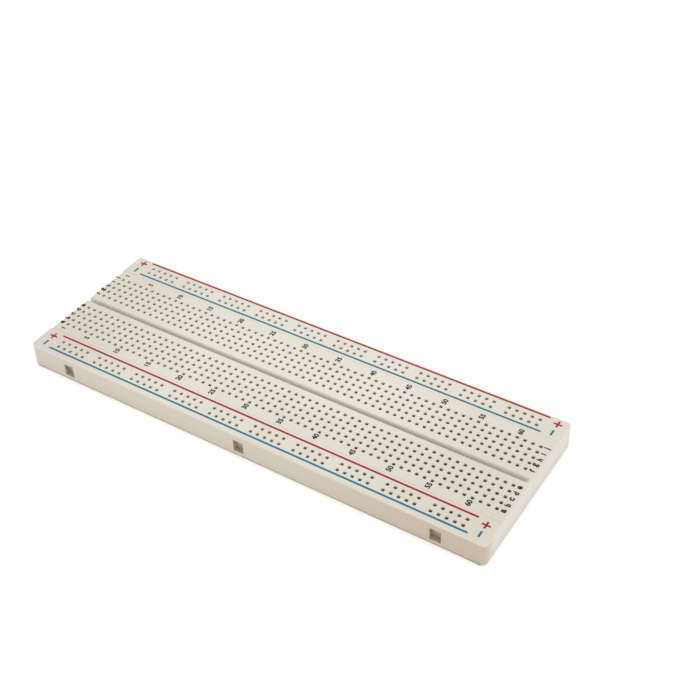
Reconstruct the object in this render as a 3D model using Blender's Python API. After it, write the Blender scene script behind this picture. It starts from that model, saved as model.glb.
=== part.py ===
"""Full-size solderless breadboard, as the separate pieces it comes apart into.

A wide terminal strip stands between two bus strips. Tabs on one long side of each strip press
into slots in the next one, so a bus strip pulls straight off sideways. Spring contacts lie in
pockets under the holes, and foam tape with a paper liner closes each strip's underside.

Metres, +Z up. X runs along the numbered columns and Y across the lettered rows. The origin is
on the underside of the liner, under the middle of the terminal strip.
"""

from math import cos, pi, sin

import bmesh
import bpy

MM = 0.001

# Hole grid
PITCH = 2.54 * MM
COLUMNS = 63
ROWS = 5
FIRST_ROW = 3.81 * MM  # from the middle line to rows e and f
BUS_GROUPS = 10
BUS_GROUP_HOLES = 5
BUS_FIRST_COLUMN = 3
BUS_GROUP_STEP = 6  # columns from one group's first hole to the next group's

# Margins of plastic round the holes, each from a hole's centre
END_MARGIN = 3.81 * MM
TERMINAL_SIDE = 4.08 * MM
BUS_SIDE = 3.44 * MM
TERMINAL_SET_BACK = 0.4 * MM  # the terminal strip's first end stops short of the bus strips'

# Housings
HOUSING_HEIGHT = 8.4 * MM
ROOF = 2.0 * MM  # plastic above the contact pockets
RIB = 0.5 * MM  # plastic left between neighbouring pockets
CORNER_RADIUS = 1.5 * MM
EDGE_RADIUS = 0.8 * MM
HOLE = 1.0 * MM  # side of a square contact hole
COLUMNS_PER_POCKET = 21

# Centre channel of the terminal strip, open at the first end
CHANNEL_WIDTH = 2.0 * MM
CHANNEL_DEPTH = 4.0 * MM
CHANNEL_END = 1.2 * MM  # wall that closes its last end

# Slots that take the next strip's tabs
SLOT_WIDTH = 3.6 * MM
SLOT_DEPTH = 1.8 * MM
SLOT_ROOF = 2.9 * MM
SLOT_FLOOR = 1.1 * MM
SLOT_FROM_END = 15.55 * MM

# Spring contacts, bent from sheet
SHEET = 0.2 * MM
TIP_GAP = 0.3 * MM  # between the two leaves where they grip
CONTACT_OVERHANG = 0.72 * MM  # past the centre of a contact's end holes
CONTACTS_PER_BANK = 3
NOTCH_FLOOR = 1.4 * MM  # height of a rail's strip between two groups

# Adhesive tape
FOAM = 0.38 * MM
LINER = 0.12 * MM
TAPE_END_INSET = 1.5 * MM
TAPE_SIDE_INSET = 0.4 * MM

# Clearances
CLEARANCE = 0.3 * MM
SEAM = 0.1 * MM  # between two strips' long sides
TAPE_GAP = 0.05 * MM

# What follows from the values above
POCKET = PITCH - RIB
CONTACT_WIDTH = POCKET - 2 * CLEARANCE
ROW_SPAN = (ROWS - 1) * PITCH
HALF_LENGTH = (COLUMNS - 1) / 2 * PITCH + END_MARGIN
TERMINAL_HALF = FIRST_ROW + ROW_SPAN + TERMINAL_SIDE
BUS_HALF = PITCH / 2 + BUS_SIDE
BUS_MIDDLE = TERMINAL_HALF + SEAM + BUS_HALF
FOAM_BASE = LINER + TAPE_GAP
BASE = FOAM_BASE + FOAM + TAPE_GAP
TOP = BASE + HOUSING_HEIGHT
POCKET_TOP = TOP - ROOF
CONTACT_BASE = BASE + CLEARANCE
CONTACT_TOP = POCKET_TOP - CLEARANCE
TAB_LENGTH = SLOT_DEPTH + SEAM - CLEARANCE

PAST = 1.0 * MM  # how far a cutter reaches past the face that it opens
ARC_STEPS = 3
BANK_CENTRE = (CONTACTS_PER_BANK - 1) / 2 * PITCH


def clear_scene():
    for old in list(bpy.data.objects):
        bpy.data.objects.remove(old, do_unlink=True)


def material(name, colour, roughness, metallic=0.0):
    """A Principled material of one colour."""
    made = bpy.data.materials.new(name)
    made.use_nodes = True
    shader = made.node_tree.nodes["Principled BSDF"]
    shader.inputs["Base Color"].default_value = (*colour, 1.0)
    shader.inputs["Roughness"].default_value = roughness
    shader.inputs["Metallic"].default_value = metallic
    made.diffuse_color = (*colour, 1.0)
    return made


def add_object(name, mesh_in_progress, finish=None, parent=None, place=(0, 0, 0)):
    """Turns a bmesh into a named object at its place under its parent."""
    bmesh.ops.recalc_face_normals(mesh_in_progress, faces=mesh_in_progress.faces)
    mesh = bpy.data.meshes.new(name)
    mesh_in_progress.to_mesh(mesh)
    mesh_in_progress.free()
    made = bpy.data.objects.new(name, mesh)
    bpy.context.scene.collection.objects.link(made)
    made.location = place
    made.parent = parent
    if finish:
        mesh.materials.append(finish)
    return made


def add_box(shape, low, high):
    """Adds a closed box between two corners."""
    corners = [(x, y, z) for x in (low[0], high[0]) for y in (low[1], high[1]) for z in (low[2], high[2])]
    made = [shape.verts.new(corner) for corner in corners]
    for face in ((0, 1, 3, 2), (4, 6, 7, 5), (0, 4, 5, 1), (2, 3, 7, 6), (0, 2, 6, 4), (1, 5, 7, 3)):
        shape.faces.new([made[corner] for corner in face])


def add_hole(shape, x, y):
    """Adds a square cutter that opens a contact hole from the top face into its pocket."""
    half = HOLE / 2
    add_box(shape, (x - half, y - half, POCKET_TOP - ROOF / 2), (x + half, y + half, TOP + PAST))


def extrude_outline(shape, outline, low, high, place):
    """Carries a flat outline from low to high; place(u, v, along) gives each point."""
    ends = [[shape.verts.new(place(u, v, along)) for u, v in outline] for along in (low, high)]
    shape.faces.new(ends[0])
    shape.faces.new(list(reversed(ends[1])))
    for first in range(len(outline)):
        second = (first + 1) % len(outline)
        shape.faces.new((ends[0][first], ends[1][first], ends[1][second], ends[0][second]))


def boolean(target, other, operation):
    """Cuts or joins another object into the target, and keeps that object out of the model."""
    step = target.modifiers.new(other.name, "BOOLEAN")
    step.operation = operation
    step.solver = "EXACT"
    step.object = other
    other.hide_render = True
    other.display_type = "WIRE"


def column_x(column):
    return (column - (COLUMNS + 1) / 2) * PITCH


def slab_ring(low, high, soft, inset, height):
    """A strip's outline at one height, with round corners where two soft sides meet.

    soft says which of the sides -X, +X, -Y and +Y are drawn in by the inset.
    """
    left, right, front, back = (inset if side else 0 for side in soft)
    sides_x = (low[0] + left, high[0] - right)
    sides_y = (low[1] + front, high[1] - back)
    points = []
    for quarter, (at_right, at_back) in enumerate(((0, 0), (1, 0), (1, 1), (0, 1))):
        x = sides_x[at_right]
        y = sides_y[at_back]
        if not (soft[at_right] and soft[2 + at_back]):
            points.append((x, y, height))
            continue
        radius = CORNER_RADIUS - inset
        centre_x = x + (radius if at_right == 0 else -radius)
        centre_y = y + (radius if at_back == 0 else -radius)
        for step in range(ARC_STEPS + 1):
            turn = pi + (quarter + step / ARC_STEPS) * pi / 2
            points.append((centre_x + radius * cos(turn), centre_y + radius * sin(turn), height))
    return points


def add_slab(shape, low, high, soft):
    """A strip's solid block, with its soft top edges rounded."""
    rings = [slab_ring(low, high, soft, 0, BASE)]
    for step in range(ARC_STEPS + 1):
        turn = step / ARC_STEPS * pi / 2
        drawn_in = EDGE_RADIUS * (1 - cos(turn))
        rings.append(slab_ring(low, high, soft, drawn_in, TOP - EDGE_RADIUS * (1 - sin(turn))))
    made = [[shape.verts.new(point) for point in ring] for ring in rings]
    shape.faces.new(list(reversed(made[0])))
    shape.faces.new(made[-1])
    for lower, upper in zip(made, made[1:]):
        for first in range(len(lower)):
            second = (first + 1) % len(lower)
            shape.faces.new((lower[first], lower[second], upper[second], upper[first]))


def interlock_columns():
    """Places along X of a strip's three tabs, and of the slots that they fit."""
    outer = HALF_LENGTH - SLOT_FROM_END
    return (-outer, 0.0, outer)


def add_slots(shape, face_y):
    """Cutters for the slots in a strip's -Y side."""
    for x in interlock_columns():
        low = (x - SLOT_WIDTH / 2, face_y - PAST, BASE + SLOT_FLOOR)
        high = (x + SLOT_WIDTH / 2, face_y + SLOT_DEPTH, TOP - SLOT_ROOF)
        add_box(shape, low, high)


def add_tabs(shape, face_y):
    """Tabs on a strip's +Y side, a clearance smaller than the slots all round."""
    half = SLOT_WIDTH / 2 - CLEARANCE
    for x in interlock_columns():
        low = (x - half, face_y - PAST, BASE + SLOT_FLOOR + CLEARANCE)
        high = (x + half, face_y + TAB_LENGTH, TOP - SLOT_ROOF - CLEARANCE)
        add_box(shape, low, high)


def bus_columns():
    """The columns that have bus holes, in groups with one column left out between them."""
    firsts = range(BUS_FIRST_COLUMN, BUS_FIRST_COLUMN + BUS_GROUPS * BUS_GROUP_STEP, BUS_GROUP_STEP)
    return [first + hole for first in firsts for hole in range(BUS_GROUP_HOLES)]


def rail_reach():
    """Where a bus rail ends along X, on each side of the middle."""
    columns = bus_columns()
    return column_x(columns[0]) - CONTACT_OVERHANG, column_x(columns[-1]) + CONTACT_OVERHANG


def terminal_rows(side):
    """Distances of one half's rows from the middle line, on the side given as -1 or 1."""
    return [side * (FIRST_ROW + row * PITCH) for row in range(ROWS)]


def bank_columns():
    """The first column of each bank of terminal contacts."""
    return range(1, COLUMNS + 1, CONTACTS_PER_BANK)


def pocket_columns():
    """The first column over each of a half's contact pockets."""
    return range(1, COLUMNS + 1, COLUMNS_PER_POCKET)


def terminal_housing(finish):
    """The wide strip: two halves of five rows, a channel between them, tabs and slots."""
    low = (TERMINAL_SET_BACK - HALF_LENGTH, -TERMINAL_HALF)
    high = (HALF_LENGTH, TERMINAL_HALF)
    shape = bmesh.new()
    add_slab(shape, low, high, (True, True, False, False))
    strip = add_object("terminal_strip", shape, finish)

    tabs = bmesh.new()
    add_tabs(tabs, TERMINAL_HALF)
    boolean(strip, add_object("terminal_tabs", tabs), "UNION")

    cuts = bmesh.new()
    add_slots(cuts, -TERMINAL_HALF)
    channel_low = (low[0] - PAST, -CHANNEL_WIDTH / 2, TOP - CHANNEL_DEPTH)
    channel_high = (high[0] - CHANNEL_END, CHANNEL_WIDTH / 2, TOP + PAST)
    add_box(cuts, channel_low, channel_high)
    holes = bmesh.new()
    overhang = CONTACT_OVERHANG + CLEARANCE
    for side in (-1, 1):
        rows = sorted(terminal_rows(side))
        for column in range(1, COLUMNS + 1):
            for y in rows:
                add_hole(holes, column_x(column), y)
        for column in pocket_columns():
            last = column + COLUMNS_PER_POCKET - 1
            pocket_low = (column_x(column) - POCKET / 2, rows[0] - overhang, BASE - PAST)
            pocket_high = (column_x(last) + POCKET / 2, rows[-1] + overhang, POCKET_TOP)
            add_box(cuts, pocket_low, pocket_high)
    boolean(strip, add_object("terminal_cuts", cuts), "DIFFERENCE")
    boolean(strip, add_object("terminal_holes", holes), "DIFFERENCE")


def bus_housing(name, finish, body, outer):
    """A narrow strip of two rows, built about its own middle; outer is -1 for front, 1 for rear."""
    shape = bmesh.new()
    soft = (True, True, outer < 0, outer > 0)
    add_slab(shape, (-HALF_LENGTH, -BUS_HALF), (HALF_LENGTH, BUS_HALF), soft)
    strip = add_object(name, shape, finish, body)

    tabs = bmesh.new()
    add_tabs(tabs, BUS_HALF)
    boolean(strip, add_object(f"{name}_tabs", tabs, parent=body), "UNION")

    cuts = bmesh.new()
    holes = bmesh.new()
    add_slots(cuts, -BUS_HALF)
    start, stop = rail_reach()
    for y in (-PITCH / 2, PITCH / 2):
        for column in bus_columns():
            add_hole(holes, column_x(column), y)
        pocket_low = (start - CLEARANCE, y - POCKET / 2, BASE - PAST)
        pocket_high = (stop + CLEARANCE, y + POCKET / 2, POCKET_TOP)
        add_box(cuts, pocket_low, pocket_high)
    boolean(strip, add_object(f"{name}_cuts", cuts, parent=body), "DIFFERENCE")
    boolean(strip, add_object(f"{name}_holes", holes, parent=body), "DIFFERENCE")


def leaf_outline(centres):
    """Section through contacts side by side: one base strip, and two leaning leaves at each centre."""
    half = CONTACT_WIDTH / 2
    tip = TIP_GAP / 2
    floor = CONTACT_BASE + SHEET
    outline = [(centres[0] - half, CONTACT_BASE), (centres[-1] + half, CONTACT_BASE)]
    for centre in reversed(centres):
        outline += [
            (centre + half, floor),
            (centre + tip + SHEET, CONTACT_TOP),
            (centre + tip, CONTACT_TOP),
            (centre + half - SHEET, floor),
            (centre - half + SHEET, floor),
            (centre - tip, CONTACT_TOP),
            (centre - tip - SHEET, CONTACT_TOP),
            (centre - half, floor),
        ]
    return outline


def terminal_contacts(finish):
    """Banks of terminal contacts, each leaf as long as its five holes."""
    centres = [column * PITCH - BANK_CENTRE for column in range(CONTACTS_PER_BANK)]
    reach = ROW_SPAN / 2 + CONTACT_OVERHANG
    for side, letters in ((-1, "ae"), (1, "fj")):
        middle = side * (FIRST_ROW + ROW_SPAN / 2)
        for column in bank_columns():
            shape = bmesh.new()
            extrude_outline(shape, leaf_outline(centres), -reach, reach, lambda u, v, along: (u, along, v))
            name = f"contacts_{letters}_{column:02d}_{column + CONTACTS_PER_BANK - 1:02d}"
            add_object(name, shape, finish, place=(column_x(column) + BANK_CENTRE, middle, 0))


def bus_contacts(strip_name, finish, body):
    """A strip's two rails, each one long contact with its leaves left out between the groups."""
    start, stop = rail_reach()
    for sign, y in (("minus", -PITCH / 2), ("plus", PITCH / 2)):
        name = f"{strip_name}_{sign}_rail"
        shape = bmesh.new()
        extrude_outline(shape, leaf_outline([0.0]), start, stop, lambda u, v, along: (along, u, v))
        rail = add_object(name, shape, finish, body, (0, y, 0))
        gaps = bmesh.new()
        for group in range(1, BUS_GROUPS):
            x = column_x(BUS_FIRST_COLUMN + group * BUS_GROUP_STEP - 1)
            half = PITCH - CONTACT_OVERHANG
            low = (x - half, -CONTACT_WIDTH, CONTACT_BASE + NOTCH_FLOOR)
            high = (x + half, CONTACT_WIDTH, CONTACT_TOP + PAST)
            add_box(gaps, low, high)
        boolean(rail, add_object(f"{name}_gaps", gaps, parent=body, place=(0, y, 0)), "DIFFERENCE")


def tape(strip_name, half_width, foam_finish, liner_finish, body=None):
    """The foam pad under one strip, and the paper liner under the pad."""
    half_x = HALF_LENGTH - TAPE_END_INSET
    half_y = half_width - TAPE_SIDE_INSET
    layers = (("foam", FOAM_BASE, FOAM, foam_finish), ("liner", 0.0, LINER, liner_finish))
    for layer, bottom, thickness, finish in layers:
        shape = bmesh.new()
        add_box(shape, (-half_x, -half_y, bottom), (half_x, half_y, bottom + thickness))
        add_object(f"{strip_name}_{layer}", shape, finish, body)


def moving_body(name, y):
    """An empty on the line along which a bus strip slides off."""
    body = bpy.data.objects.new(name, None)
    bpy.context.scene.collection.objects.link(body)
    body.location = (0, y, 0)
    return body


def main():
    clear_scene()
    ivory = material("ivory_plastic", (0.80, 0.77, 0.70), 0.45)
    metal = material("contact_metal", (0.70, 0.68, 0.62), 0.30, 1.0)
    foam = material("tape_foam", (0.30, 0.28, 0.16), 0.90)
    paper = material("liner_paper", (0.72, 0.66, 0.36), 0.70)

    terminal_housing(ivory)
    terminal_contacts(metal)
    tape("terminal_strip", TERMINAL_HALF, foam, paper)
    for name, outer in (("front_bus_strip", -1), ("rear_bus_strip", 1)):
        body = moving_body(f"{name}_slide", outer * BUS_MIDDLE)
        bus_housing(name, ivory, body, outer)
        bus_contacts(name, metal, body)
        tape(name, BUS_HALF, foam, paper, body)


main()
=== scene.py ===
# %% [markdown]
# # Solderless breadboard
#
# Three ivory mouldings stand side by side: a wide terminal strip between two narrow bus strips.
# Spring contacts lie under every hole, foam tape and a paper liner close the undersides, and the
# markings are printed on top. The cells below build each piece in the CAD model's frame, which
# is in metres with +Z up. X runs along the numbered columns and Y across the lettered rows.

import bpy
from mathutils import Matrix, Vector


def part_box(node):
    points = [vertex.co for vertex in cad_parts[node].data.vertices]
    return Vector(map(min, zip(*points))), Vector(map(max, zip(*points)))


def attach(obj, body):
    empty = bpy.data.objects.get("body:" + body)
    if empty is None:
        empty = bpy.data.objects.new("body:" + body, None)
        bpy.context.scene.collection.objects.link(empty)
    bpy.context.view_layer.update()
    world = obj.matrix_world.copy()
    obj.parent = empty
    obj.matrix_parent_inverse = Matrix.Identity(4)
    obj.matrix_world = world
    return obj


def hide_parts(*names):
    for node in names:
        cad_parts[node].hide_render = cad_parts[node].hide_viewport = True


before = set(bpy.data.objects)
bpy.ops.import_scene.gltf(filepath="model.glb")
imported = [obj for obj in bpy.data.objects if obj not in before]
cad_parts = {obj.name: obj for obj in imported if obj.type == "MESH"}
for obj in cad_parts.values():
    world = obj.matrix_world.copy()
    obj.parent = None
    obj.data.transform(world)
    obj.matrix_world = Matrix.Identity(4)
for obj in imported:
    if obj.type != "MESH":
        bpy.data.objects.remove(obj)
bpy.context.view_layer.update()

# %% [markdown]
# ## Sizes
#
# Most of them are the CAD model's own. The moulded top lies a hair below the CAD top, so that the
# raised ink ends exactly there. A printed marking is a film a few hundredths of a millimetre
# thick, and it is a piece of its own, because it is laid on after moulding.

# %% Sizes
from math import pi, radians

import bmesh
import bpy
import numpy as np
from mathutils import Euler

MM = 0.001
PITCH = 2.54 * MM
COLUMNS = 63
ROWS = 5  # lettered rows on each side of the channel
FIRST_ROW = 3.81 * MM  # from the board's middle line to row e or f
FIRST_BUS = 3  # first and last columns that have bus holes
LAST_BUS = 61
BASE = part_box("terminal_strip")[0].z
CAD_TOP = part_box("terminal_strip")[1].z
TOP = CAD_TOP - 0.012 * MM
POCKET_TOP = 7.0 * MM
POCKET = 2.04 * MM  # a contact pocket's width
EDGE_RADIUS = 0.8 * MM
CORNER_RADIUS = 1.5 * MM
SEAM_RADIUS = 0.05 * MM
SEAM_MARGIN = 0.3 * MM  # how far in from a seam the first straight grid line runs
SEAM_FILL = 0.03 * MM  # how far each strip reaches into the CAD gap between two strips
SUPPORT = 0.15 * MM  # a narrow band under each rounded edge, which keeps the wall's shading flat
FILLET_STEPS = 6
TAB = 1.6 * MM  # how far a strip's tabs stand out of its +Y side
SLOT_X = (-67.0 * MM, 0.0, 67.0 * MM)
BUS_MIDDLE = 22.86 * MM
BUSES = {"front_bus_strip": "front_bus", "rear_bus_strip": "rear_bus"}
OUTER = {"front_bus_strip": -1, "rear_bus_strip": 1}


def column_x(column):
    """Place of a column along X: its number less 32, times the pitch."""
    return (np.asarray(column, float) - (COLUMNS + 1) / 2) * PITCH


def bus_columns():
    """Columns that have bus holes: ten groups of five, with one column left out between them."""
    return np.array([FIRST_BUS + 6 * group + hole for group in range(10) for hole in range(5)])


def housing_box(name):
    """A moulding's corners without its tabs, which stand out of its +Y side.

    A side at a seam reaches a little into the gap that the CAD model keeps there.
    """
    low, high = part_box(name)
    low, high = np.array(low), np.array(high) - (0, TAB, 0)
    low[1] -= 0 if name == "front_bus_strip" else SEAM_FILL
    high[1] += 0 if name == "rear_bus_strip" else SEAM_FILL
    return low, high


for strip in ("terminal_strip", *BUSES):
    print(strip, [[round(value * 1000, 2) for value in corner] for corner in housing_box(strip)])

# %% [markdown]
# ## Mesh helpers
#
# A shape is made as whole arrays of points and faces, because every moulding repeats the same
# few cells hundreds of times. A part is a pair: an array of points, and a list of face arrays, one
# for each number of corners. Parts that share an edge use the same points there, so welding them
# gives one closed surface.

# %% Mesh helpers
WELD = 4e-7  # metres
SMOOTH_UNDER = 35  # degrees
FLAT_VOLUME = 1e-15  # cubic metres: four corners that span less than this are flat


def joined(parts):
    """Several parts as one: points in turn, each part's faces counted on from those before it."""
    points, faces, count = [], [], 0
    for part_points, part_faces in parts:
        points.append(np.asarray(part_points, float).reshape(-1, 3))
        faces += [np.asarray(array) + count for array in part_faces]
        count += len(points[-1])
    return np.concatenate(points), faces


def copies(part, places):
    """A part repeated: every point plus every place, and face numbers raised by whole copies."""
    points, faces = part
    places = np.asarray(places, float).reshape(-1, 3)
    all_points = (places[:, None, :] + points[None]).reshape(-1, 3)
    steps = np.arange(len(places))[:, None, None] * len(points)
    return all_points, [(steps + array[None]).reshape(-1, array.shape[1]) for array in faces]


def add_mesh(name, part, smooth_under=SMOOTH_UNDER):
    """An object from a part: points closer than the weld made one, flat faces dropped, normals out.

    Each point is rounded to a lattice of the weld's size; points on one lattice place are one.
    """
    points, faces = part
    lattice = np.round(points / WELD).astype(np.int64)
    _, first, index = np.unique(lattice, axis=0, return_index=True, return_inverse=True)
    index = index.reshape(-1)
    rows = []
    for array in faces:
        rows += index[array].tolist()
    kept = []
    for row in rows:
        short = [corner for place, corner in enumerate(row) if corner != row[place - 1]]
        if len(set(short)) > 2:
            kept.append(short)
    mesh = bpy.data.meshes.new(name)
    mesh.from_pydata(points[first].tolist(), [], kept)
    made = bpy.data.objects.new(name, mesh)
    bpy.context.scene.collection.objects.link(made)
    tidy(made, smooth_under)
    return made


def tidy(made, smooth_under=SMOOTH_UNDER):
    """Points welded, loose ones dropped, normals out, and edges past the angle kept sharp."""
    shape = bmesh.new()
    shape.from_mesh(made.data)
    bmesh.ops.remove_doubles(shape, verts=shape.verts, dist=WELD)
    loose = [vertex for vertex in shape.verts if not vertex.link_faces]
    bmesh.ops.delete(shape, geom=loose, context="VERTS")
    bmesh.ops.recalc_face_normals(shape, faces=shape.faces)
    open_edges = sum(1 for edge in shape.edges if len(edge.link_faces) != 2)
    shape.to_mesh(made.data)
    shape.free()
    made.data.shade_smooth()
    made.data.set_sharp_from_angle(angle=radians(smooth_under))
    made.data.update()
    triangles = sum(len(face.vertices) - 2 for face in made.data.polygons)
    print(f"{made.name}: {triangles} triangles, {open_edges} open edges")


def grid_part(points, keep):
    """Quads over a grid of points, less those that keep leaves out.

    A quad that isn't flat is split along the diagonal through its lowest corner, which keeps a
    mitred corner of a groove crisp.
    """
    count_y = points.shape[1]
    start = np.arange(points.shape[0] - 1)[:, None] * count_y + np.arange(count_y - 1)[None]
    quads = np.stack([start, start + count_y, start + count_y + 1, start + 1], -1)
    quads = quads[keep].reshape(-1, 4)
    flat_points = points.reshape(-1, 3)
    corners = flat_points[quads]
    a, b, c, d = corners[:, 0], corners[:, 1], corners[:, 2], corners[:, 3]
    volume = np.abs(np.einsum("ij,ij->i", np.cross(b - a, c - a), d - a))
    bent = volume > FLAT_VOLUME
    turn = np.argmin(corners[bent][:, :, 2], axis=1)
    rolled = np.take_along_axis(quads[bent], (turn[:, None] + np.arange(4)) % 4, axis=1)
    triangles = np.concatenate([rolled[:, [0, 1, 2]], rolled[:, [0, 2, 3]]])
    return flat_points, [quads[~bent], triangles]


def stacked(outlines, closed=True):
    """Outlines of equal counts joined in turn by quads, with one face over each end if closed."""
    count = len(outlines[0])
    near = np.arange(count)
    far = np.roll(near, -1)
    one = np.stack([near, far, far + count, near + count], 1)
    quads = np.concatenate([one + count * level for level in range(len(outlines) - 1)])
    caps = np.array([near[::-1], near + count * (len(outlines) - 1)])
    return np.concatenate(outlines), [quads, caps] if closed else [quads]


def extruded(outline, start, stop, along_x):
    """A closed outline carried along Y, or along X; its points are (across, height) pairs."""
    across, height = np.asarray(outline, float).T
    ends = []
    for along in (start, stop):
        run = np.full(len(across), along)
        ends.append(np.stack([run, across, height] if along_x else [across, run, height], 1))
    return stacked(ends)


def rectangle(low_x, high_x, low_y, high_y):
    """Four corners, anticlockwise from the lower left."""
    return [(low_x, low_y), (high_x, low_y), (high_x, high_y), (low_x, high_y)]


print("weld", WELD / MM, "mm")

# %% [markdown]
# ## Hole cells
#
# The mouldings are injection-moulded: a flat plate full of square holes, each with a soft lead-in
# that guides a wire, over a pocket for each contact. A block cut by hundreds of Booleans would
# shade badly, whereas cells that share their corners weld cleanly and have the same lead-in.

# %% Hole cells
HOLE_RINGS = np.array(  # (half width, depth) down the lead-in and the bore, in millimetres
    [(0.70, 0.0), (0.64, 0.012), (0.57, 0.06), (0.52, 0.17), (0.5, 0.36), (0.5, 1.988)]
) * MM
CUT_CORNER = 0.22  # how much of a ring's half width its corners are cut by


def ring(half, height):
    """Eight points round a square with cut corners, from its lower left corner anticlockwise."""
    cut = half * (1 - CUT_CORNER)
    pairs = [(-cut, -half), (cut, -half), (half, -cut), (half, cut)]
    pairs += [(cut, half), (-cut, half), (-half, cut), (-half, -cut)]
    return np.array([(x, y, height) for x, y in pairs])


def cell_round(ring_points, low_x, high_x, low_y, high_y, height):
    """The flat between a rectangle and the ring inside it: four quads and four corner triangles."""
    corners = [(x, y, height) for x, y in rectangle(low_x, high_x, low_y, high_y)]
    points = np.concatenate([np.array(corners), ring_points])
    quads = np.array([(0, 1, 5, 4), (1, 2, 7, 6), (2, 3, 9, 8), (3, 0, 11, 10)])
    triangles = np.array([(1, 6, 5), (2, 8, 7), (3, 10, 9), (0, 4, 11)])
    return points, [quads, triangles]


def hole_cell():
    """One pitch of the top plate with its hole: rings of points carried down the lead-in."""
    rings = [ring(half, TOP - depth) for half, depth in HOLE_RINGS]
    half = PITCH / 2
    flat = cell_round(rings[0], -half, half, -half, half, TOP)
    return joined([flat, stacked(rings, closed=False)])


def hole_places(columns, rows):
    """Every crossing of the columns with the rows, as places on the plate."""
    x, y = np.meshgrid(column_x(columns), np.asarray(rows, float), indexing="ij")
    return np.stack([x.ravel(), y.ravel(), np.zeros(x.size)], 1)


print("hole cell faces", sum(len(array) for array in hole_cell()[1]))

# %% [markdown]
# ## Rounded edges and channel
#
# Molten plastic never fills a sharp corner, so every edge of a moulding is a little round. A Bevel
# modifier could do it, but grid lines that crowd together at an edge, and fall along an arc there,
# keep the top flat. The channel that chips straddle is a table of depths across the groove, and a
# second table lifts its floor at the closed end.

# %% Rounded edges and channel


def fillet_drop(inset, radius):
    """How far a rounded edge has fallen at an inset from its face: radius less the arc's height."""
    short = np.clip(radius - inset, 0, radius)
    return radius - np.sqrt(np.clip(radius**2 - short**2, 0, None))


def edge_lines(face, inwards, radius, margin):
    """Grid lines that follow one rounded edge, from its face inwards to the margin."""
    turns = np.linspace(0, pi / 2, FILLET_STEPS + 1)
    insets = np.unique(np.round(np.append(radius * (1 - np.cos(turns)), margin), 9))
    return face + inwards * insets


CHANNEL = np.array(  # (distance from the channel's middle line, depth) in millimetres
    [(0.0, 4.0), (0.42, 4.0), (0.48, 3.9), (0.61, 1.3), (0.69, 0.68)]
    + [(0.78, 0.36), (0.89, 0.16), (1.0, 0.05), (1.14, 0.0)]
) * MM
CHANNEL_STOP = 30.5 * PITCH  # where the floor begins to rise to the closed end
CHANNEL_RAMP = np.array(  # (distance past that place, depth) in millimetres
    [(0.0, 4.0), (2.54, 2.4), (3.1, 1.7), (3.6, 0.95), (4.0, 0.35), (4.3, 0.0)]
) * MM


def channel_depth(x, y):
    """Depth of the groove: the profile across it or the profile at its end, whichever is less."""
    across = np.interp(np.abs(y), CHANNEL[:, 0], CHANNEL[:, 1])
    at_end = np.interp(x - CHANNEL_STOP, CHANNEL_RAMP[:, 0], CHANNEL_RAMP[:, 1])
    return np.minimum(across, at_end)


def sheet_points(xs, ys, low, high, radii, soft, height, with_fillets):
    """Points of a top or bottom plate over grid lines, with its edges and soft corners rounded.

    The radii are for the sides at low X, high X, low Y and high Y. Each point falls by the largest
    of its sides' fillet drops. In a soft corner, the square patch is wrapped onto a quarter disc:
    the larger of the two distances is the radius, and their ratio gives the angle.
    """
    x, y = np.meshgrid(xs, ys, indexing="ij")
    insets = (x - low[0], high[0] - x, y - low[1], high[1] - y)
    drop = np.max([fillet_drop(inset, radius) for inset, radius in zip(insets, radii)], axis=0)
    for side_x, side_y in soft:
        inner_x = (high[0] if side_x > 0 else low[0]) - side_x * CORNER_RADIUS
        inner_y = (high[1] if side_y > 0 else low[1]) - side_y * CORNER_RADIUS
        u = side_x * (x - inner_x) / CORNER_RADIUS
        v = side_y * (y - inner_y) / CORNER_RADIUS
        inside = (u > 1e-6) & (v > 1e-6)
        u, v = u[inside], v[inside]
        reach = np.maximum(u, v)
        turn = np.where(u >= v, pi / 4 * v / u, pi / 2 - pi / 4 * u / v)
        x[inside] = inner_x + side_x * CORNER_RADIUS * reach * np.cos(turn)
        y[inside] = inner_y + side_y * CORNER_RADIUS * reach * np.sin(turn)
        drop[inside] = fillet_drop(CORNER_RADIUS * (1 - reach), EDGE_RADIUS)
    return np.stack([x, y, height - drop * with_fillets], -1)


print("channel", round(CHANNEL[0, 1] / MM, 2), "mm deep")

# %% [markdown]
# ## Walls and pockets
#
# Under the plate a real moulding is hollow: each spring contact has its own pocket, open at the
# bottom so that the contact can be pressed in. A wall is one large face, since it is flat, with
# narrow quads only where it turns a round corner.

# %% Walls and pockets


def sides_of(points):
    """A grid's outline as four runs of points, anticlockwise from the low Y side."""
    return [points[:, 0], points[-1, :], points[::-1, -1], points[0, ::-1]]


def wall(top_run, bottom_run, first_arc, last_arc):
    """One side of a block: a narrow band, quads round its soft corners, one face between them."""
    count = len(top_run)
    band = top_run - (0, 0, SUPPORT)
    near = np.arange(count - 1)
    quads = [np.stack([near, near + 1, near + 1 + count, near + count], 1)]
    arcs = ((near[:first_arc], 2 * count), (near[count - 1 - last_arc :], len(bottom_run) + count))
    for arc, below in arcs:
        low = arc + below
        quads.append(np.stack([arc + count, arc + 1 + count, low + 1, low], 1))
    upper = np.arange(first_arc, count - last_arc) + count
    lower = np.arange(first_arc, len(bottom_run) - last_arc)[::-1] + 2 * count
    points = np.concatenate([top_run, band, bottom_run])
    return points, [np.concatenate(quads), np.concatenate([upper, lower])[None]]


ARC = FILLET_STEPS + 1  # segments of a soft corner on each of its sides


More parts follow.
